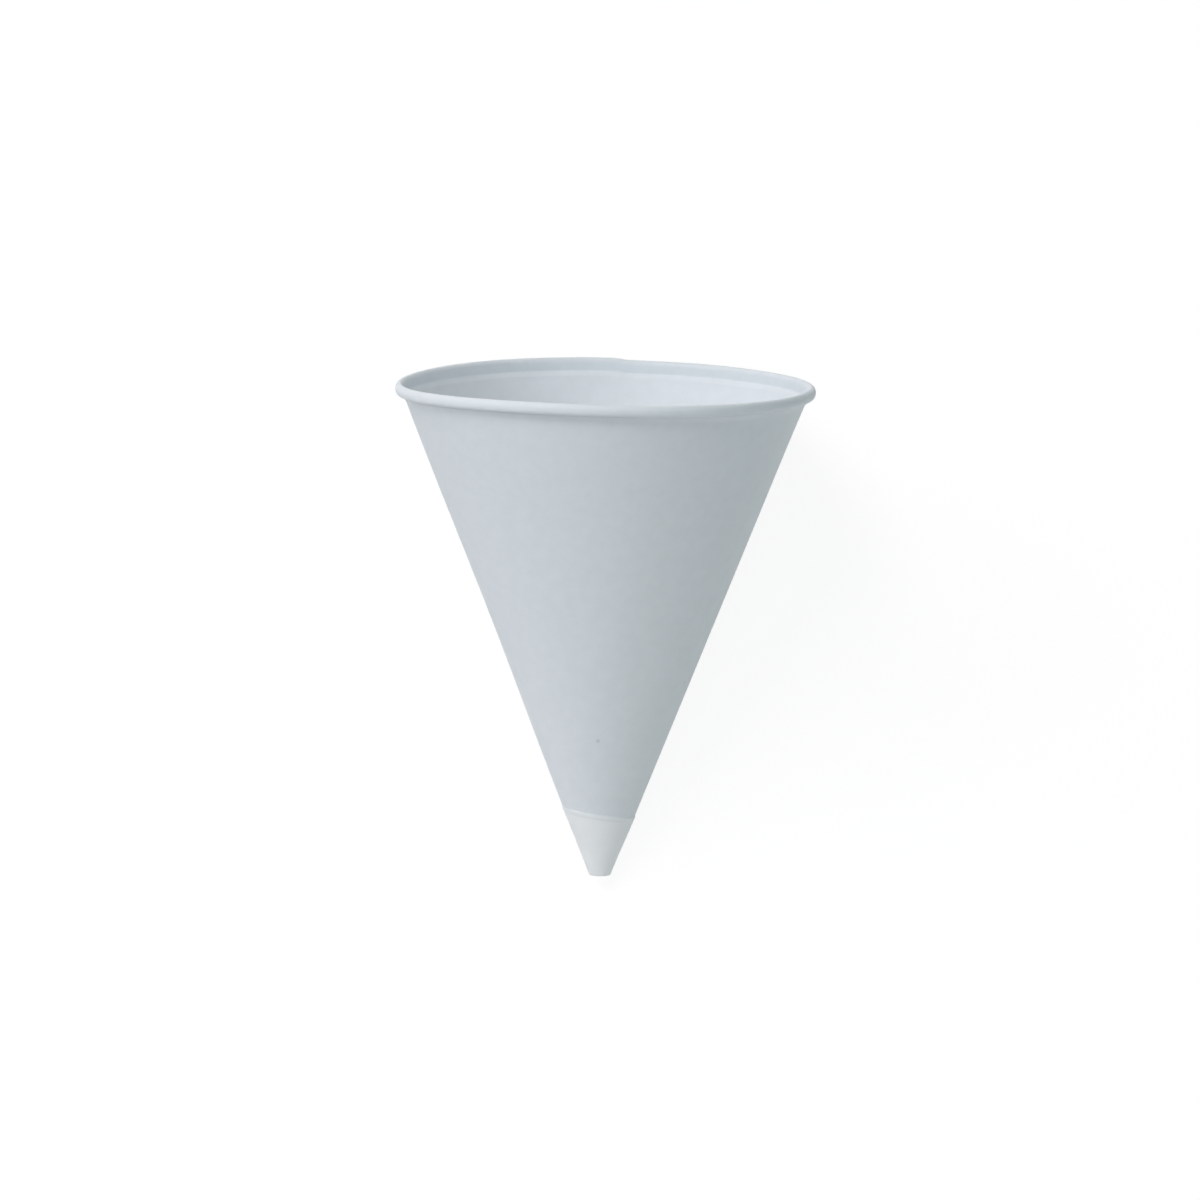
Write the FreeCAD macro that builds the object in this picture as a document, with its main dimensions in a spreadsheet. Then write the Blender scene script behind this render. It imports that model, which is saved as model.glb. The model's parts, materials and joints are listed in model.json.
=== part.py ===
"""Cone paper cup with a rolled rim, lying on its side as it comes to rest. Millimetres.

One round of paper, wound into a cone, lapped and glued down its back, with its point pressed shut
and its top edge rolled outwards. The cup is drawn upright, its axis on Z and its point at the origin,
and its placement lays it down: mouth towards +X, glued lap underneath, on the plane Z = 0.
"""
import FreeCAD, Part
import math
import os

import Sketcher

# Driving dimensions, in millimetres, and the slant in degrees
DIMENSIONS = [
    ("rim_diameter", 74.0, "outside of the rolled rim"),
    ("cup_height", 87.5, "blunt point to the top of the roll"),
    ("paper_thickness", 0.2, "one ply"),
    ("tip_diameter", 3.6, "blunt end of the cone, before its edge is rounded"),
    ("tip_floor", 2.0, "pressed paper that closes the point"),
    ("tip_round", 0.3, "rounding outside the blunt end"),
    ("floor_round", 1.0, "rounding at the bottom of the inside"),
    ("roll_height", 2.0, "rolled rim, top to underside"),
    ("roll_depth", 1.5, "rolled rim, inside face to outside face"),
    ("roll_gap", 0.15, "tucked edge of the roll to the wall"),
    ("roll_tuck", 0.5, "straight end of the paper, tucked up inside the roll"),
    ("flare_drop", 2.3, "top of the roll to the top of the flare"),
    ("flare_height", 0.9, "flare where the wall opens out under the roll"),
    ("flare_run", 0.6, "how far the wall opens out there"),
    ("seam_width", 10.5, "glued lap, at the rim"),
    ("seam_step", 0.2, "free edge of the outer ply above the inner one"),
    ("seam_lead", 1.5, "outer ply before the lap, where it lies in the wall"),
    ("seam_tuck", 0.2, "foot of the lap, tucked in under the wound ply"),
    ("seam_in_roll", 0.05, "lap above the roll's round, at its middle, where it lies flat across the roll"),
    ("wrap_height", 11.4, "ply wound round the point, at its middle"),
    ("wrap_thickness", 0.12, "the same ply, pressed flat"),
    ("wrap_slant", 7.5, "slant of its upper edge, in degrees"),
]

# Flats that each half round of the roll is made of, outside and on its hidden inner face
OUTSIDE_FLATS, HIDDEN_FLATS = 6, 3

# Ends of a line, the middle of a circle, and the sketch's own origin and axes
START, END, CENTRE = 1, 2, 3
ORIGIN = (-1, 1)
ACROSS, UPRIGHT = -1, -2
BORROWED = -3

document = FreeCAD.newDocument("cone_cup")
sheet = document.addObject("Spreadsheet::Sheet", "Sizes")
for row, (alias, value, note) in enumerate(DIMENSIONS, start=1):
    sheet.set(f"A{row}", note)
    sheet.set(f"B{row}", str(value))
    sheet.setAlias(f"B{row}", alias)
document.recompute()
size = {alias: float(getattr(sheet, alias)) for alias, _, _ in DIMENSIONS}

cup = document.addObject("PartDesign::Body", "cone_cup")
cup.Label = "cone_cup"


def new_sketch(name, role):
    """Sketch on one of the body's own origin planes."""
    sketch = cup.newObject("Sketcher::SketchObject", name)
    plane = next(feature for feature in cup.Origin.OriginFeatures if feature.Role == role)
    sketch.AttachmentSupport = [(plane, "")]
    sketch.MapMode = "FlatFace"
    document.recompute()
    return sketch


def flat(point):
    return FreeCAD.Vector(point[0], point[1], 0)


def line(sketch, start, end):
    return sketch.addGeometry(Part.LineSegment(flat(start), flat(end)), False)


def polygon(sketch, points):
    """Lines from point to point and back to the first, joined at their ends."""
    lines = [line(sketch, a, b) for a, b in zip(points, points[1:] + points[:1])]
    for before, after in zip(lines, lines[1:] + lines[:1]):
        hold(sketch, "Coincident", before, END, after, START)
    return lines


def hold(sketch, kind, *geometry):
    return sketch.addConstraint(Sketcher.Constraint(kind, *geometry))


def dimension(sketch, name, expression, kind, *geometry):
    """A named constraint, drawn at its present value and bound to the sheet."""
    sketch.renameConstraint(hold(sketch, kind, *geometry), name)
    sketch.setExpression(f"Constraints.{name}", expression)


def flat_round(sketch, name, centre, radius, expression, turn, flats):
    """Quarter or half a circle as equal flats, over a turn given by its two ends in degrees.

    Its corners lie on a construction circle whose radius the sheet gives. Returns the flats and the circle.
    """
    circle = sketch.addGeometry(Part.Circle(flat(centre), FreeCAD.Vector(0, 0, 1), radius), True)
    first, last = turn
    angles = [math.radians(first + (last - first) * step / flats) for step in range(flats + 1)]
    points = [(centre[0] + radius * math.cos(a), centre[1] + radius * math.sin(a)) for a in angles]
    lines = [line(sketch, a, b) for a, b in zip(points, points[1:])]
    for before, after in zip(lines, lines[1:]):
        hold(sketch, "Coincident", before, END, after, START)
        hold(sketch, "Equal", before, after)
    for facet in lines:
        hold(sketch, "PointOnObject", facet, START, circle)
    hold(sketch, "PointOnObject", lines[-1], END, circle)
    for facet, end, angle in ((lines[0], START, first), (lines[-1], END, last)):
        hold(sketch, "Vertical" if angle % 180 else "Horizontal", facet, end, circle, CENTRE)
    dimension(sketch, name, expression, "Radius", circle, radius)
    return lines, circle


def finish_sketch(sketch):
    document.recompute()
    if sketch.solve() != 0 or not sketch.FullyConstrained:
        raise RuntimeError(f"{sketch.Name} isn't fully constrained")


# Radii and heights of the section, from the sizes
thickness = size["paper_thickness"]
rim_radius = size["rim_diameter"] / 2
tip_radius = size["tip_diameter"] / 2
band_inside = rim_radius - size["roll_depth"]
band_outside = band_inside + thickness
band_top = size["cup_height"] - size["roll_depth"] / 2
flare_top = size["cup_height"] - size["flare_drop"]
neck_height = flare_top - size["flare_height"]
neck_radius = band_outside - size["flare_run"]
wall_slope = (neck_radius - tip_radius) / neck_height
wall_angle = math.atan(wall_slope)
flare_angle = math.atan(size["flare_run"] / size["flare_height"])
top_radius = size["roll_depth"] / 2
top_centre = (rim_radius - top_radius, band_top)
foot_radius = (size["roll_depth"] - thickness - size["roll_gap"]) / 2
foot_centre = (rim_radius - foot_radius, size["cup_height"] - size["roll_height"] + foot_radius)
seam_angle = size["seam_width"] / rim_radius


def wall_radius(height, outwards=0.0):
    """Radius of the cone's outer face at a height, or of a face that far outside it."""
    return tip_radius + height * wall_slope + outwards / math.cos(wall_angle)


def draw_outline():
    """Outside of the paper: blunt point, wall, flare and the band that carries the roll."""
    sketch = new_sketch("outline", "YZ_Plane")
    points = [
        (0, 0),
        (tip_radius, 0),
        (neck_radius, neck_height),
        (band_outside, flare_top),
        (band_outside, band_top),
        (0, band_top),
    ]
    foot, wall, flare, band, top, axis = polygon(sketch, points)
    hold(sketch, "Coincident", foot, START, *ORIGIN)
    hold(sketch, "Horizontal", foot)
    hold(sketch, "Vertical", band)
    hold(sketch, "Horizontal", top)
    hold(sketch, "Vertical", axis)
    dimension(sketch, "tip", "Sizes.tip_diameter / 2", "DistanceX", foot, START, foot, END, tip_radius)
    outside = "Sizes.rim_diameter / 2 - Sizes.roll_depth + Sizes.paper_thickness"
    dimension(sketch, "band", outside, "DistanceX", *ORIGIN, band, START, band_outside)
    level = "Sizes.cup_height - Sizes.roll_depth / 2"
    dimension(sketch, "top", level, "DistanceY", *ORIGIN, band, END, band_top)
    level = "Sizes.cup_height - Sizes.flare_drop"
    dimension(sketch, "flare_top", level, "DistanceY", *ORIGIN, band, START, flare_top)
    rise, run = size["flare_height"], size["flare_run"]
    dimension(sketch, "rise", "Sizes.flare_height", "DistanceY", flare, START, flare, END, rise)
    dimension(sketch, "run", "Sizes.flare_run", "DistanceX", flare, START, flare, END, run)
    finish_sketch(sketch)
    return sketch, (wall, flare, band)


def draw_inside():
    """Inside of the cup: the outline again, one ply inwards, down to the floor of pressed paper."""
    sketch = new_sketch("inside", "YZ_Plane")
    for number in outline_faces:
        sketch.addExternal(outline.Name, f"Edge{number + 1}")
    wall_out, flare_out, band_out = BORROWED, BORROWED - 1, BORROWED - 2
    lower_corner = thickness * math.tan((flare_angle + wall_angle) / 2)
    floor = size["tip_floor"]
    points = [
        (0, floor),
        (wall_radius(floor, -thickness), floor),
        (neck_radius - thickness, neck_height + lower_corner),
        (band_inside, flare_top + thickness * math.tan(flare_angle / 2)),
        (band_inside, band_top),
        (0, band_top),
    ]
    foot, wall, flare, band, top, axis = polygon(sketch, points)
    hold(sketch, "PointOnObject", foot, START, UPRIGHT)
    hold(sketch, "Horizontal", foot)
    hold(sketch, "Horizontal", top)
    hold(sketch, "Vertical", axis)
    for face, outer_face, name in (
        (wall, wall_out, "wall_ply"),
        (flare, flare_out, "flare_ply"),
        (band, band_out, "band_ply"),
    ):
        hold(sketch, "Parallel", face, outer_face)
        dimension(sketch, name, "Sizes.paper_thickness", "Distance", face, START, outer_face, thickness)
    dimension(sketch, "floor", "Sizes.tip_floor", "DistanceY", *ORIGIN, foot, START, floor)
    level = "Sizes.cup_height - Sizes.roll_depth / 2"
    dimension(sketch, "top", level, "DistanceY", *ORIGIN, top, START, band_top)
    finish_sketch(sketch)
    return sketch


# Radius of the roll's upper and lower half, and the levels of their middles
TOP_RADIUS = "Sizes.roll_depth / 2"
FOOT_RADIUS = "(Sizes.roll_depth - Sizes.paper_thickness - Sizes.roll_gap) / 2"
TOP_LEVEL = f"Sizes.cup_height - {TOP_RADIUS}"
FOOT_LEVEL = f"Sizes.cup_height - Sizes.roll_height + {FOOT_RADIUS}"


def draw_roll_section():
    """Section of the roll: over the top, down the outside, under and up again to the tucked edge."""
    sketch = new_sketch("roll_section", "YZ_Plane")
    inner_top, inner_foot = top_radius - thickness, foot_radius - thickness
    over, under = (0, 180), (180, 360)
    top_out, circle = flat_round(
        sketch, "top_out", top_centre, top_radius, TOP_RADIUS, over, OUTSIDE_FLATS
    )
    ply_in = f"{TOP_RADIUS} - Sizes.paper_thickness"
    top_in, inner_circle = flat_round(sketch, "top_in", top_centre, inner_top, ply_in, over, HIDDEN_FLATS)
    hold(sketch, "Coincident", circle, CENTRE, inner_circle, CENTRE)
    dimension(sketch, "top_level", TOP_LEVEL, "DistanceY", *ORIGIN, circle, CENTRE, band_top)
    foot_out, circle = flat_round(
        sketch, "foot_out", foot_centre, foot_radius, FOOT_RADIUS, under, OUTSIDE_FLATS
    )
    ply_in = f"{FOOT_RADIUS} - Sizes.paper_thickness"
    foot_in, inner_circle = flat_round(
        sketch, "foot_in", foot_centre, inner_foot, ply_in, under, HIDDEN_FLATS
    )
    hold(sketch, "Coincident", circle, CENTRE, inner_circle, CENTRE)
    dimension(sketch, "foot_level", FOOT_LEVEL, "DistanceY", *ORIGIN, circle, CENTRE, foot_centre[1])
    tuck_outside = rim_radius - 2 * foot_radius
    tuck_inside = tuck_outside + thickness
    tuck_top = foot_centre[1] + size["roll_tuck"]
    leg_out = line(sketch, (rim_radius, foot_centre[1]), (rim_radius, band_top))
    leg_in = line(sketch, (rim_radius - thickness, band_top), (rim_radius - thickness, foot_centre[1]))
    tuck_out = line(sketch, (tuck_outside, tuck_top), (tuck_outside, foot_centre[1]))
    tuck_in = line(sketch, (tuck_inside, foot_centre[1]), (tuck_inside, tuck_top))
    edge = line(sketch, (tuck_inside, tuck_top), (tuck_outside, tuck_top))
    join = line(sketch, (band_inside, band_top), (band_outside, band_top))
    for first, first_end, second, second_end in (
        (top_out[0], START, leg_out, END),
        (leg_out, START, foot_out[-1], END),
        (foot_out[0], START, tuck_out, END),
        (tuck_out, START, edge, END),
        (edge, START, tuck_in, END),
        (tuck_in, START, foot_in[0], START),
        (foot_in[-1], END, leg_in, END),
        (leg_in, START, top_in[0], START),
        (top_in[-1], END, join, END),
        (join, START, top_out[-1], END),
    ):
        hold(sketch, "Coincident", first, first_end, second, second_end)
    for upright in (leg_out, tuck_out, tuck_in):
        hold(sketch, "Vertical", upright)
    hold(sketch, "Horizontal", edge)
    dimension(sketch, "rim", "Sizes.rim_diameter / 2", "DistanceX", *ORIGIN, leg_out, START, rim_radius)
    tuck = size["roll_tuck"]
    dimension(sketch, "tuck", "Sizes.roll_tuck", "DistanceY", tuck_in, START, tuck_in, END, tuck)
    finish_sketch(sketch)
    return sketch


def draw_lap_section():
    """Outer half of the roll where the lap crosses it: two plies, pressed together."""
    sketch = new_sketch("lap_section", "YZ_Plane")
    upright = FreeCAD.Vector(0, 1, 0)
    half_lap = FreeCAD.Rotation(upright, math.degrees(seam_angle / 2))
    sketch.AttachmentOffset = FreeCAD.Placement(FreeCAD.Vector(), half_lap)
    half_lap = "Sizes.seam_width / Sizes.rim_diameter * 1 rad"
    sketch.setExpression("AttachmentOffset.Rotation.Angle", half_lap)
    reach = rim_radius + size["seam_in_roll"]
    top_middle, foot_middle = (reach - top_radius, band_top), (reach - foot_radius, foot_centre[1])
    flats = OUTSIDE_FLATS // 2
    top, circle = flat_round(sketch, "top", top_middle, top_radius, TOP_RADIUS, (0, 90), flats)
    dimension(sketch, "top_level", TOP_LEVEL, "DistanceY", *ORIGIN, circle, CENTRE, band_top)
    foot, circle = flat_round(sketch, "foot", foot_middle, foot_radius, FOOT_RADIUS, (270, 360), flats)
    dimension(sketch, "foot_level", FOOT_LEVEL, "DistanceY", *ORIGIN, circle, CENTRE, foot_centre[1])
    leg = line(sketch, (reach, foot_centre[1]), (reach, band_top))
    crown = (top_middle[0], band_top + top_radius)
    back = line(sketch, crown, (foot_middle[0], foot_centre[1] - foot_radius))
    hold(sketch, "Coincident", top[0], START, leg, END)
    hold(sketch, "Coincident", leg, START, foot[-1], END)
    hold(sketch, "Coincident", foot[0], START, back, END)
    hold(sketch, "Coincident", back, START, top[-1], END)
    hold(sketch, "Vertical", leg)
    out = "Sizes.rim_diameter / 2 + Sizes.seam_in_roll"
    dimension(sketch, "reach", out, "DistanceX", *ORIGIN, leg, START, reach)
    finish_sketch(sketch)
    return sketch


def draw_wall_cone(name, low, high, outwards):
    """Cone from the axis out to the wall's outer face, or to a face further out.

    Its two levels and how far it stands out are pairs: the present value and its expression.
    """
    sketch = new_sketch(name, "YZ_Plane")
    sketch.addExternal(outline.Name, f"Edge{outline_faces[0] + 1}")
    points = [
        (0, low[0]),
        (wall_radius(low[0], outwards[0]), low[0]),
        (wall_radius(high[0], outwards[0]), high[0]),
        (0, high[0]),
    ]
    foot, face, cap, axis = polygon(sketch, points)
    hold(sketch, "PointOnObject", foot, START, UPRIGHT)
    hold(sketch, "Horizontal", foot)
    hold(sketch, "Horizontal", cap)
    hold(sketch, "Vertical", axis)
    hold(sketch, "Parallel", face, BORROWED)
    if low[0]:
        dimension(sketch, "low", low[1], "DistanceY", *ORIGIN, foot, START, low[0])
    else:
        hold(sketch, "PointOnObject", foot, START, ACROSS)
    if outwards[0]:
        dimension(sketch, "proud", outwards[1], "Distance", face, START, BORROWED, outwards[0])
    else:
        hold(sketch, "PointOnObject", face, START, BORROWED)
    dimension(sketch, "high", high[1], "DistanceY", *ORIGIN, cap, START, high[0])
    finish_sketch(sketch)
    return sketch


def revolve(name, sketch, kind="PartDesign::Revolution"):
    feature = cup.newObject(kind, name)
    feature.Profile = sketch
    feature.ReferenceAxis = (sketch, ["V_Axis"])
    feature.Angle = 360
    document.recompute()
    return feature


def circle_edge(shape, radius, height):
    """Name of the circular edge with that radius round the axis at that height."""
    for number, edge in enumerate(shape.Edges, start=1):
        curve = edge.Curve
        if isinstance(curve, Part.Circle) and abs(curve.Center.z - height) < 1e-4:
            if abs(curve.Radius - radius) < 1e-3:
                return f"Edge{number}"
    raise RuntimeError(f"no edge of radius {radius} at height {height}")


outline, outline_faces = draw_outline()

# Ply wound round the point, with its upper edge cut off at a slant
wrap_blank_top = 2 * size["wrap_height"]
wrap_section = draw_wall_cone(
    "wrap_section",
    low=(0, None),
    high=(wrap_blank_top, "2 * Sizes.wrap_height"),
    outwards=(size["wrap_thickness"], "Sizes.wrap_thickness"),
)
revolve("wrap_blank", wrap_section)


def draw_wrap_trim():
    sketch = new_sketch("wrap_trim", "XZ_Plane")
    reach = 2 * size["wrap_height"] + tip_radius
    slant = math.radians(size["wrap_slant"])
    rise = reach * math.tan(slant)
    top = wrap_blank_top + reach
    middle = size["wrap_height"]
    points = [(-reach, middle + rise), (reach, middle - rise), (reach, top), (-reach, top)]
    cut, right, cap, left = polygon(sketch, points)
    hold(sketch, "Horizontal", cap)
    hold(sketch, "Vertical", left)
    hold(sketch, "Vertical", right)
    centre = sketch.addGeometry(Part.Point(flat((0, middle))), True)
    hold(sketch, "PointOnObject", centre, START, UPRIGHT)
    hold(sketch, "PointOnObject", centre, START, cut)
    dimension(sketch, "middle", "Sizes.wrap_height", "DistanceY", *ORIGIN, centre, START, middle)
    dimension(sketch, "slant", "-Sizes.wrap_slant * 1 deg", "Angle", cut, -slant)
    wide = "2 * Sizes.wrap_height + Sizes.tip_diameter / 2"
    dimension(sketch, "right", wide, "DistanceX", *ORIGIN, cut, END, reach)
    dimension(sketch, "left", wide, "DistanceX", cut, START, *ORIGIN, reach)
    tall = "4 * Sizes.wrap_height + Sizes.tip_diameter / 2"
    dimension(sketch, "tall", tall, "DistanceY", *ORIGIN, cap, START, top)
    finish_sketch(sketch)
    return sketch


wrap_trim = draw_wrap_trim()
wrap = cup.newObject("PartDesign::Pocket", "wrap")
wrap.Profile = wrap_trim
wrap.Type = "ThroughAll"
wrap.Midplane = True
document.recompute()

# The cone, as if it were solid
revolve("cone", outline)

# Glued lap: the outer ply climbs over the inner one, on a cone set aside from the cup's own axis,
# and ends in a step. Its section is the wall's own outline, turned about that second axis.
seam_foot = size["wrap_height"] - size["seam_tuck"]
seam_section = draw_wall_cone(
    "seam_section",
    low=(seam_foot, "Sizes.wrap_height - Sizes.seam_tuck"),
    high=(neck_height, "Sizes.cup_height - Sizes.flare_drop - Sizes.flare_height"),
    outwards=(0, None),
)
lap = "Sizes.seam_width / (Sizes.rim_diameter / 2) * 1 rad"
seam_section.setExpression("AttachmentOffset.Base.z", f"-Sizes.seam_step / sin({lap}) * 1 mm")
seam = revolve("seam", seam_section)
seam.Type = "TwoAngles"
seam.setExpression("Angle", lap)
seam.setExpression("Angle2", "Sizes.seam_lead / (Sizes.rim_diameter / 2) * 1 rad")
document.recompute()

# Everything inside the one ply is hollow, and the roll goes round the rim
revolve("hollow", draw_inside(), "PartDesign::Groove")
revolve("roll", draw_roll_section())

# The lap goes on through the roll. Two plies are too stiff for the round, so it lies flat there,
# and the cup rests on it.
lap_in_roll = cup.newObject("PartDesign::Pad", "lap_in_roll")
lap_in_roll.Profile = draw_lap_section()
lap_in_roll.Midplane = True
lap_in_roll.setExpression("Length", "Sizes.seam_width")
document.recompute()

# Rounded edges of the pressed point, outside and inside
point_round = cup.newObject("PartDesign::Fillet", "point_round")
point_edge = circle_edge(lap_in_roll.Shape, wall_radius(0, size["wrap_thickness"]), 0)
point_round.Base = (lap_in_roll, [point_edge])
point_round.setExpression("Radius", "Sizes.tip_round")
document.recompute()
floor_edge = circle_edge(point_round.Shape, wall_radius(size["tip_floor"], -thickness), size["tip_floor"])
floor_round = cup.newObject("PartDesign::Fillet", "floor_round")
floor_round.Base = (point_round, [floor_edge])
floor_round.setExpression("Radius", "Sizes.floor_round")
document.recompute()

# Lying on its side: it touches the plane with the lap in the roll and with the rounded edge of the point
corner = (math.pi / 2 + wall_angle) / 2
point_centre = wall_radius(0, size["wrap_thickness"]) - size["tip_round"] / math.tan(corner)
run = foot_centre[0] + size["seam_in_roll"] - point_centre
rise = foot_centre[1] - size["tip_round"]
lean = math.atan(run / rise) + math.asin((foot_radius - size["tip_round"]) / math.hypot(run, rise))
lap_middle = math.pi / 2 + seam_angle / 2
lap_side = FreeCAD.Vector(math.cos(lap_middle), math.sin(lap_middle), 0)
axis = FreeCAD.Vector(0, 0, 1)
mouth = FreeCAD.Vector(math.cos(lean), 0, math.sin(lean))
underside = FreeCAD.Vector(math.sin(lean), 0, -math.cos(lean))
upright = FreeCAD.Rotation(lap_side.cross(axis), lap_side, axis, "ZYX")
lying = FreeCAD.Rotation(underside.cross(mouth), underside, mouth, "ZYX") * upright.inverted()
cup.Placement = FreeCAD.Placement(FreeCAD.Vector(), lying)
document.recompute()
box = cup.Shape.optimalBoundingBox(False, False)
base = FreeCAD.Vector(-box.Center.x, -box.Center.y, -box.ZMin)
cup.Placement = FreeCAD.Placement(base, lying)
document.recompute()

failed = [item.Name for item in document.Objects if {"Invalid", "Error"} & set(item.State)]
if failed:
    raise RuntimeError(f"failed: {failed}")
if cup.Shape.isNull() or not cup.Shape.isValid() or len(cup.Shape.Solids) != 1:
    raise RuntimeError("the cup isn't one valid solid")

os.makedirs("parts", exist_ok=True)
cup.Shape.exportStep(f"parts/{cup.Label}.step")
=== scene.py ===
"""Cone paper cup lying on its side, seen from above its long side. Metres, in the CAD's frame."""

import json
import math

import bmesh
import bpy
from mathutils import Matrix, Vector


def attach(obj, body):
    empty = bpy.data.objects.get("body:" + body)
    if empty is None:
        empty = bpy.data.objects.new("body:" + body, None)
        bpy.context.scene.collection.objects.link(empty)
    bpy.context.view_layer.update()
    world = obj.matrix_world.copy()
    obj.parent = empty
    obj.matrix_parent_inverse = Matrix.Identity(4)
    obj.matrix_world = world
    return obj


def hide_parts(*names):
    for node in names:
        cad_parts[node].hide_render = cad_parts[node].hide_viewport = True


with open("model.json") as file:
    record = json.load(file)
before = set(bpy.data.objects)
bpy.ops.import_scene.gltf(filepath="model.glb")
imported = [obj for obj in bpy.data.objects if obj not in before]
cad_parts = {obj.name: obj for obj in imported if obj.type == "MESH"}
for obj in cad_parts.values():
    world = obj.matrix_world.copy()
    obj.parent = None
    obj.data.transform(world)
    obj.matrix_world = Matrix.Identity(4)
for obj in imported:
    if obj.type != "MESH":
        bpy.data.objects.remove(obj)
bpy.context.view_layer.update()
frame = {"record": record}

# The cup: one round of plain white paper, wound into a cone, lapped and glued down the side that lies
# underneath, with one more ply wound round its point and pressed shut, and its top edge rolled outwards.
# It is spun about its own axis, point at the origin and mouth towards +Z, then laid in its place.
MM = 0.001
TIP_RADIUS = 1.8
PAPER = 0.2
NECK_HEIGHT, NECK_RADIUS = 84.3, 35.1
FLARE_TOP, BAND_OUTSIDE = 85.2, 35.7
BAND_INSIDE = BAND_OUTSIDE - PAPER
TIP_ROUND = 0.3
FLOOR_HEIGHT, FLOOR_ROUND = 2.0, 1.0
WRAP_HEIGHT, WRAP_PLY, WRAP_EDGE = 11.4, 0.12, 0.1
RIM_RADIUS, CUP_HEIGHT = 37.0, 87.5
ROLL_HEIGHT, ROLL_DEPTH, ROLL_GAP = 2.0, 1.5, 0.15
TUCK_ANGLE = -185
# How far a crease is softened along the wall, and the plain wall left between a crease and the first even row
CREASE, PLAIN = 0.12, 1.0
COLUMNS = 480

slope = (NECK_RADIUS - TIP_RADIUS) / NECK_HEIGHT
wall_angle = math.atan(slope)
upright_ply = PAPER / math.cos(wall_angle)
wrap_proud = WRAP_PLY / math.cos(wall_angle)


def wall_radius(height):
    return TIP_RADIUS + slope * height


def arc(centre, wide, tall, first, last, steps):
    """Points along an oval arc of the section, between two angles in degrees."""
    turns = (math.radians(first + (last - first) * step / steps) for step in range(steps + 1))
    return [(centre[0] + wide * math.cos(turn), centre[1] + tall * math.sin(turn)) for turn in turns]


def foot_round(corner, height, radius, steps):
    """The rounding between a level floor and the leaning wall, from the floor up."""
    half_corner = (math.pi / 2 + wall_angle) / 2
    centre = (corner - radius / math.tan(half_corner), height + radius)
    return arc(centre, radius, radius, -90, -math.degrees(wall_angle), steps)


def wall_run(low, high, inwards, steps):
    """Points straight up the wall, from one height to another."""
    heights = (low + (high - low) * step / steps for step in range(steps + 1))
    return [(wall_radius(height) - inwards, height) for height in heights]


neck_inside = (NECK_RADIUS - PAPER, NECK_HEIGHT + 0.1)
flare_inside = FLARE_TOP + 0.06
roll_tall = ROLL_HEIGHT / 2
roll_level = CUP_HEIGHT - roll_tall
top_wide = ROLL_DEPTH / 2
foot_wide = (ROLL_DEPTH - PAPER - ROLL_GAP) / 2
top_centre, foot_centre = (RIM_RADIUS - top_wide, roll_level), (RIM_RADIUS - foot_wide, roll_level)
outside = (
    [(0, 0), (TIP_RADIUS / 2, 0)]
    + foot_round(TIP_RADIUS + wrap_proud, 0, TIP_ROUND, 6)
    + wall_run(PLAIN, WRAP_HEIGHT - WRAP_EDGE, -wrap_proud, 10)
    + [(wall_radius(WRAP_HEIGHT) + wrap_proud, WRAP_HEIGHT)]
    + wall_run(WRAP_HEIGHT, WRAP_HEIGHT + WRAP_EDGE, 0, 1)
    + wall_run(WRAP_HEIGHT + PLAIN, NECK_HEIGHT - PLAIN, 0, 36)
    + [(wall_radius(NECK_HEIGHT - CREASE), NECK_HEIGHT - CREASE), (NECK_RADIUS, NECK_HEIGHT)]
    + [(BAND_OUTSIDE - 0.1, FLARE_TOP - 0.15), (BAND_OUTSIDE, FLARE_TOP), (BAND_OUTSIDE, FLARE_TOP + CREASE)]
)
roll_inside = (
    arc(top_centre, top_wide - PAPER, roll_tall - PAPER, 180, 0, 12)
    + arc(foot_centre, foot_wide - PAPER, roll_tall - PAPER, 0, TUCK_ANGLE, 12)[1:]
)
roll_face = (
    arc(foot_centre, foot_wide, roll_tall, TUCK_ANGLE, 0, 18)
    + arc(top_centre, top_wide, roll_tall, 0, 180, 20)[1:]
)
inside = (
    [(BAND_INSIDE, FLARE_TOP + 0.2), (BAND_INSIDE, flare_inside), (BAND_INSIDE - 0.1, flare_inside - 0.15)]
    + [(neck_inside[0] + 0.08, neck_inside[1] + 0.12), neck_inside]
    + [(wall_radius(NECK_HEIGHT - CREASE) - upright_ply, NECK_HEIGHT - CREASE)]
    + wall_run(NECK_HEIGHT - PLAIN, FLOOR_HEIGHT + 2 * PLAIN, upright_ply, 26)
    + foot_round(wall_radius(FLOOR_HEIGHT) - upright_ply, FLOOR_HEIGHT, FLOOR_ROUND, 6)[::-1]
    + [(0, FLOOR_HEIGHT)]
)
section = outside + roll_inside + roll_face + inside

cup_mesh = bmesh.new()
corners = [cup_mesh.verts.new((radius, 0, height)) for radius, height in section]
edges = [cup_mesh.edges.new(pair) for pair in zip(corners, corners[1:])]
bmesh.ops.spin(
    cup_mesh,
    geom=corners + edges,
    cent=(0, 0, 0),
    axis=(0, 0, 1),
    angle=math.tau,
    steps=COLUMNS,
    use_merge=True,
)
bmesh.ops.remove_doubles(cup_mesh, verts=cup_mesh.verts, dist=0.001)
bmesh.ops.recalc_face_normals(cup_mesh, faces=cup_mesh.faces)

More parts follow.
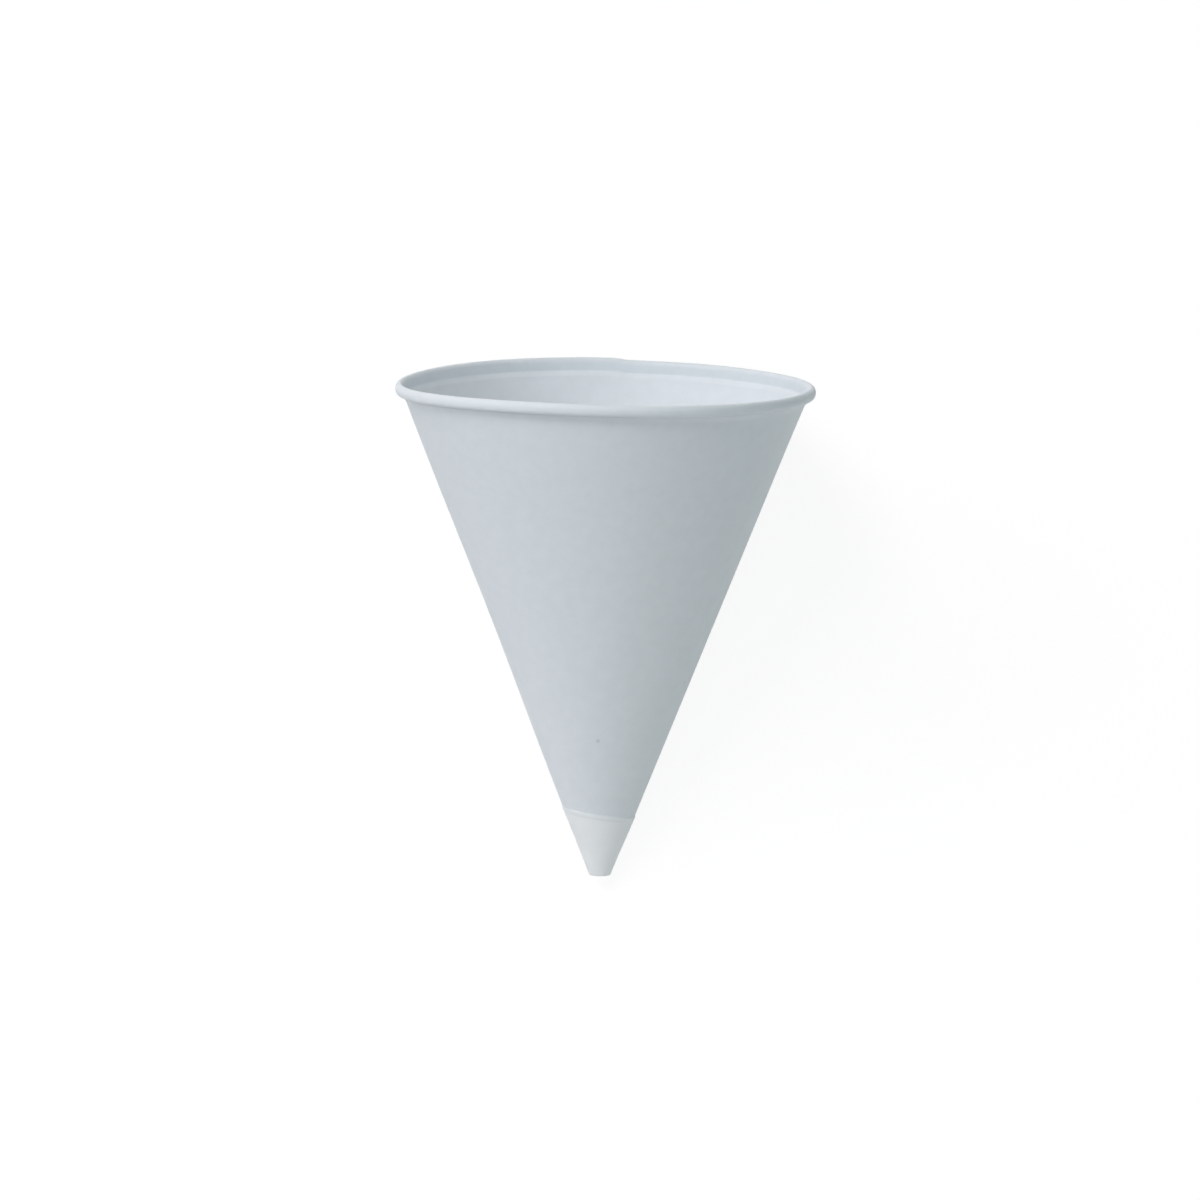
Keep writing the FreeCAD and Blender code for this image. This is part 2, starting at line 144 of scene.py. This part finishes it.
# How the paper departs from a true cone: the slanted edge of the wound ply, the lap that climbs over the
# inner ply, ends in a step and lies flat across the roll, a rim that isn't quite level, and the bow of the
# wall. Each pair of heights is where a departure fades in or out; angles are in degrees round the axis.
WRAP_SLANT = math.radians(7.5)
SLANT_IN, SLANT_OUT = (2, 9), (14, 28)
LAP_START, LAP_END = 81.87, 98.13
LAP_MIDDLE = math.radians((LAP_START + LAP_END) / 2)
LAP_STEP = 0.2
LAP_IN_ROLL = 0.05
RIM_SADDLE, RIM_SWAY = 0.275, 0.16
RIM_STEP_AT, RIM_STEP_RUN = 86.2, 4.5
RIM_STEP_UP, RIM_STEP_DOWN = 0.1, 0.2
RIM_STEP_REACH = 30
BOW = 0.125
BOW_HEIGHT, BOW_LENGTH = 45, 62
BOW_IN, BOW_OUT = (6, 12), (80, 84)
TIP_NARROW = 0.15
TIP_OUT = (3, 9)
WAVER_IN = (76, 87)
EDGE_GAP = 0.01
# Where the wound ply's edge gets its painted highlight and painted shade: the side facing up and a little to
# the left, towards the lamps, as an angle round the axis and a fade in cosines
PAINTED_LIGHT_MIDDLE = math.radians(262)
PAINTED_LIGHT_FADE = (0.45, 0.8)
FAR_OFF = -100
column_angle = 360 / COLUMNS
below_edge = cup_mesh.verts.layers.float.new("below_edge")
painted_light_side = cup_mesh.verts.layers.float.new("painted_light_side")


def rise(low, high, value):
    """0 below low, 1 above high, and a soft climb between."""
    part = min(max((value - low) / (high - low), 0), 1)
    return part * part * (3 - 2 * part)


for vert in cup_mesh.verts:
    x, y, height = vert.co
    radius = math.hypot(x, y)
    if radius < EDGE_GAP:
        vert[below_edge] = WRAP_HEIGHT if height < EDGE_GAP else FAR_OFF
        continue
    angle = math.degrees(math.atan2(y, x)) % 360
    outer = radius > wall_radius(min(height, NECK_HEIGHT)) - PAPER / 2
    in_wall = outer and height < NECK_HEIGHT + EDGE_GAP
    on_wrap = in_wall and radius > wall_radius(height) + WRAP_PLY / 2 or height < EDGE_GAP
    vert[below_edge] = WRAP_HEIGHT - height if in_wall or height < EDGE_GAP else FAR_OFF
    # Mask for the painted highlight and painted shade under the wound ply's edge, on the side facing the
    # lamps
    vert[painted_light_side] = rise(*PAINTED_LIGHT_FADE, math.cos(math.radians(angle) - PAINTED_LIGHT_MIDDLE))
    if abs(angle - LAP_END) < column_angle:
        angle = LAP_END + math.copysign(EDGE_GAP, angle - LAP_END)
    lap = (angle - LAP_START) / (LAP_END - LAP_START)
    if 0 < lap < 1:
        across = math.cos(math.radians(angle) - LAP_MIDDLE)
        if in_wall and not on_wrap:
            radius += LAP_STEP * lap
        elif height > FLARE_TOP and radius > top_centre[0]:
            radius = (radius + LAP_IN_ROLL * (radius - top_centre[0]) / top_wide) / across
    if in_wall:
        shift = -math.tan(WRAP_SLANT) * x * rise(*SLANT_IN, height) * (1 - rise(*SLANT_OUT, height))
        height += shift
        radius += slope * shift
    turn = math.radians(angle)
    left, right = max(0, -math.cos(turn)), max(0, math.cos(turn))
    in_body = rise(*BOW_IN, height) * (1 - rise(*BOW_OUT, height))
    radius -= BOW * math.cos(math.tau * (height - BOW_HEIGHT) / BOW_LENGTH) * left**2 * in_body
    radius -= TIP_NARROW * right**2 * (1 - rise(*TIP_OUT, height)) * min(1, radius)
    at_rim = rise(*WAVER_IN, height)
    past_step = angle - RIM_STEP_AT
    step = RIM_STEP_UP if past_step > 0 else -RIM_STEP_DOWN
    step *= rise(0, RIM_STEP_RUN / 2, abs(past_step)) * (1 - rise(0, RIM_STEP_REACH, abs(past_step)))
    sway = RIM_SADDLE * math.cos(2 * turn) + RIM_SWAY * (math.cos(turn) - math.cos(3 * turn))
    height += (step - sway) * at_rim
    vert.co = (radius * math.cos(turn), radius * math.sin(turn), height)

SHARP = math.radians(38)
for edge in cup_mesh.edges:
    edge.smooth = edge.is_manifold and edge.calc_face_angle() < SHARP
for face in cup_mesh.faces:
    face.smooth = True

mount = next(item for item in frame["record"]["mounts"] if item["name"] == "cone_outside")
MOUNT_HEIGHT = 60 * MM
mouth_way = Vector(mount["axis"]).normalized()
point = Vector(mount["pos_m"]) - mouth_way * MOUNT_HEIGHT
down_way = Vector((mouth_way.z, 0, -mouth_way.x))
right_way = down_way.cross(mouth_way)
turn_in_place = Matrix((right_way, down_way, mouth_way)).transposed().to_4x4()
cup_place = Matrix.Translation(point) @ turn_in_place @ Matrix.Scale(MM, 4)
cup_mesh.transform(cup_place)
paper_cup = bpy.data.objects.new("paper_cup", bpy.data.meshes.new("paper_cup"))
cup_mesh.to_mesh(paper_cup.data)
cup_mesh.free()
bpy.context.collection.objects.link(paper_cup)

PAPER_WHITE = (0.80, 0.845, 0.885, 1)
WRAP_WHITE = (0.92, 0.945, 0.96, 1)
white_paper = bpy.data.materials.new("white_paper")
white_paper.use_nodes = True
nodes, links = white_paper.node_tree.nodes, white_paper.node_tree.links
shader = nodes["Principled BSDF"]
shader.inputs["Roughness"].default_value = 0.6
shader.inputs["Specular IOR Level"].default_value = 0.35
place = nodes.new("ShaderNodeTexCoord")


def cloud(scale, detail, roughness=0.5):
    """Noise over the paper; scale is in patches to the metre."""
    texture = nodes.new("ShaderNodeTexNoise")
    texture.inputs["Scale"].default_value = scale
    texture.inputs["Detail"].default_value = detail
    texture.inputs["Roughness"].default_value = roughness
    links.new(place.outputs["Object"], texture.inputs["Vector"])
    return texture.outputs["Fac"]


def spread(value, from_low, from_high, to_low, to_high):
    """The value, moved from one range to another and held within it."""
    move = nodes.new("ShaderNodeMapRange")
    names = ("From Min", "From Max", "To Min", "To Max")
    for name, number in zip(names, (from_low, from_high, to_low, to_high)):
        move.inputs[name].default_value = number
    links.new(value, move.inputs["Value"])
    return move.outputs["Result"]


def reckon(kind, first, second):
    """A sum on the shader's values; MULTIPLY_ADD multiplies them and adds 1."""
    sum_node = nodes.new("ShaderNodeMath")
    sum_node.operation = kind
    sum_node.inputs[2].default_value = 1
    for socket, value in zip(sum_node.inputs, (first, second)):
        if isinstance(value, (int, float)):
            socket.default_value = value
        else:
            links.new(value, socket)
    return sum_node.outputs["Value"]


def blend_colour(mask, first, second):
    """The first colour where the mask is 0 and the second where it is 1."""
    blend = nodes.new("ShaderNodeMix")
    blend.data_type = "RGBA"
    blend.inputs["A"].default_value = first
    blend.inputs["B"].default_value = second
    links.new(mask, blend.inputs["Factor"])
    return blend.outputs["Result"]




def mark(name):
    """A value that the mesh carries at its corners."""
    attribute = nodes.new("ShaderNodeAttribute")
    attribute.attribute_name = name
    return attribute.outputs["Fac"]


def painted_line(value, middle, half, height):
    """1, with a bump that high where the value is near its middle, only on the side that gets painted light.
    """
    climb = spread(value, middle - half, middle, 0, 1)
    fall = spread(value, middle, middle + half, 1, 0)
    bump = reckon("MULTIPLY", reckon("MULTIPLY", climb, fall), mark("painted_light_side"))
    return reckon("MULTIPLY_ADD", bump, height)


# A mottle of 2 mm patches and fibres of a fifth of a millimetre, each 1.5 % lighter and darker
NOISE_RANGE, TONE_RANGE = (0.3, 0.7), (0.985, 1.015)
MOTTLE_SCALE, FIBRE_SCALE, GRAIN_SCALE = 450, 4500, 5200
mottle = spread(cloud(MOTTLE_SCALE, 4), *NOISE_RANGE, *TONE_RANGE)
fibres = spread(cloud(FIBRE_SCALE, 3, 0.7), *NOISE_RANGE, *TONE_RANGE)
tone = reckon("MULTIPLY", mottle, fibres)

# Under the wound ply's edge, a painted highlight where its ledge catches the light and a painted shade line
# below it: how far below, half as wide as, how bright
PAINTED_EDGE_LINES = ((0.05, 0.45, 0.05), (0.65, 0.35, -0.07))
depth = mark("below_edge")
for below, half, bright in PAINTED_EDGE_LINES:
    tone = reckon("MULTIPLY", tone, painted_line(depth, below, half, bright))

# Dark specks in the paper: how far right of the axis, how far up it, and the speck's radius
SPECKS = ((-0.64, 25.5, 0.45), (14.51, 35.2, 0.4))
SPECK_DARK, SPECK_EDGE = 0.86, 0.6
for aside, up_axis, speck_radius in SPECKS:
    from_axis = math.sqrt(wall_radius(up_axis) ** 2 - aside**2)
    spot = cup_place @ Vector((aside, -from_axis, up_axis))
    away = nodes.new("ShaderNodeVectorMath")
    away.operation = "DISTANCE"
    links.new(place.outputs["Object"], away.inputs[0])
    away.inputs[1].default_value = spot
    far = speck_radius * MM
    tone = reckon("MULTIPLY", tone, spread(away.outputs["Value"], far * SPECK_EDGE, far, SPECK_DARK, 1))
WRAP_FADE = (-0.2, 0.45)
plain = blend_colour(spread(depth, *WRAP_FADE, 0, 1), PAPER_WHITE, WRAP_WHITE)
shaded = nodes.new("ShaderNodeVectorMath")
shaded.operation = "SCALE"
links.new(plain, shaded.inputs["Vector"])
links.new(tone, shaded.inputs["Scale"])
links.new(shaded.outputs["Vector"], shader.inputs["Base Color"])
grain = nodes.new("ShaderNodeBump")
grain.inputs["Strength"].default_value = 0.25
grain.inputs["Distance"].default_value = 0.03 * MM
links.new(cloud(GRAIN_SCALE, 4, 0.65), grain.inputs["Height"])
links.new(grain.outputs["Normal"], shader.inputs["Normal"])
paper_cup.data.materials.append(white_paper)
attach(paper_cup, "root")
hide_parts("cone_cup")

# The floor: a white table that runs out of sight, under the lowest point of the cup
FLOOR_REACH = 3.0
FLOOR_WHITE = (0.85, 0.85, 0.85, 1)
SEEN_WHITE = 0.8
floor_mesh = bmesh.new()
bmesh.ops.create_grid(floor_mesh, x_segments=1, y_segments=1, size=FLOOR_REACH)
floor = bpy.data.objects.new("floor", bpy.data.meshes.new("floor"))
floor_mesh.to_mesh(floor.data)
floor_mesh.free()
bpy.context.collection.objects.link(floor)


def seen_ray(tree):
    """1 for the camera's rays and for those seen in gloss or through glass, else 0."""
    path = tree.nodes.new("ShaderNodeLightPath")
    seen = path.outputs["Is Camera Ray"]
    for name in ("Is Glossy Ray", "Is Transmission Ray"):
        either = tree.nodes.new("ShaderNodeMath")
        either.operation = "MAXIMUM"
        tree.links.new(seen, either.inputs[0])
        tree.links.new(path.outputs[name], either.inputs[1])
        seen = either.outputs["Value"]
    return seen


table = bpy.data.materials.new("white_table")
table.use_nodes = True
tree = table.node_tree
tree.nodes.clear()
matt = tree.nodes.new("ShaderNodeBsdfDiffuse")
matt.inputs["Color"].default_value = FLOOR_WHITE
glow = tree.nodes.new("ShaderNodeEmission")
glow.inputs["Strength"].default_value = 1.1
share = tree.nodes.new("ShaderNodeMath")
share.operation = "MULTIPLY"
share.inputs[1].default_value = SEEN_WHITE
tree.links.new(seen_ray(tree), share.inputs[0])
mix = tree.nodes.new("ShaderNodeMixShader")
tree.links.new(share.outputs["Value"], mix.inputs["Fac"])
tree.links.new(matt.outputs["BSDF"], mix.inputs[1])
tree.links.new(glow.outputs["Emission"], mix.inputs[2])
output = tree.nodes.new("ShaderNodeOutputMaterial")
tree.links.new(mix.outputs["Shader"], output.inputs["Surface"])
floor.data.materials.append(table)

# The light: soft lamps at the upper left and in front, weaker ones on the right and low in front, and pale
# daylight all round
world = bpy.data.worlds.new("daylight")
bpy.context.scene.world = world
world.use_nodes = True
tree = world.node_tree
ambient = tree.nodes["Background"]
ambient.inputs["Color"].default_value = (0.92, 0.98, 1.0, 1)
ambient.inputs["Strength"].default_value = 0.135
white = tree.nodes.new("ShaderNodeBackground")
white.inputs["Color"].default_value = (1, 1, 1, 1)
white.inputs["Strength"].default_value = 1.0
mix = tree.nodes.new("ShaderNodeMixShader")
tree.links.new(seen_ray(tree), mix.inputs["Fac"])
tree.links.new(ambient.outputs["Background"], mix.inputs[1])
tree.links.new(white.outputs["Background"], mix.inputs[2])
tree.links.new(mix.outputs["Shader"], tree.nodes["World Output"].inputs["Surface"])
LAMP_AIM = 45 * MM
middle = point + mouth_way * LAMP_AIM


def lamp(name, way, distance, size, power, colour):
    """A square lamp, that way from the cup's middle: image right, image up, towards the camera."""
    light = bpy.data.lights.new(name, "AREA")
    light.size = size
    light.energy = power
    light.color = colour
    lamp_object = bpy.data.objects.new(name, light)
    away = (right_way * way[0] + mouth_way * way[1] - down_way * way[2]).normalized()
    lamp_object.location = middle + away * distance
    lamp_object.rotation_mode = "QUATERNION"
    lamp_object.rotation_quaternion = away.to_track_quat("Z", "Y")
    bpy.context.collection.objects.link(lamp_object)


FAR, NEAR = 0.9, 0.3
lamp("high_lamp", (-0.55, 0.8, 0.25), FAR, 0.5, 1.76, (1, 0.8, 0.8))
lamp("upper_lamp", (-0.25, 0.707, 0.66), FAR, 0.3, 2.47, (0.97, 1, 0.97))
lamp("side_lamp", (-0.75, 0.5, 0.433), FAR, 0.3, 1.67, (0.85, 0.95, 1))
lamp("front_lamp", (0, 0, 1), FAR, 0.5, 0.74, (0.57, 0.85, 1))
lamp("right_lamp", (0.95, 0.05, 0.3), FAR, 0.5, 0.92, (0.85, 1, 0.94))
lamp("low_lamp", (-0.15, -0.55, 0.8), NEAR, 0.2, 0.215, (1, 0.91, 0.88))

# The camera: a long lens, looking down on the cup's upper side and a little into its mouth
VIEW_TILT = math.radians(7.42)
VIEW_ROLL = math.radians(0.636)
VIEW_DISTANCE = 2.5
AIM_RIGHT, AIM_HEIGHT = -0.566, 48.96
IMAGE_WIDTH = 1200
MM_PER_PIXEL = 0.17623
view = bpy.data.cameras.new("camera")
view.sensor_width = 36
view.lens = view.sensor_width * VIEW_DISTANCE / (IMAGE_WIDTH * MM_PER_PIXEL * MM)
view.clip_start, view.clip_end = 0.05, 20
camera = bpy.data.objects.new("camera", view)
aim = cup_place @ Vector((AIM_RIGHT, 0, AIM_HEIGHT))
back = mouth_way * math.sin(VIEW_TILT) - down_way * math.cos(VIEW_TILT)
up = back.cross(right_way)
rolled_right = right_way * math.cos(VIEW_ROLL) + up * math.sin(VIEW_ROLL)
camera.matrix_world = (
    Matrix.Translation(aim + back * VIEW_DISTANCE)
    @ Matrix((rolled_right, back.cross(rolled_right), back)).transposed().to_4x4()
)
bpy.context.collection.objects.link(camera)
bpy.context.scene.camera = camera
bpy.context.scene.view_settings.view_transform = "Standard"
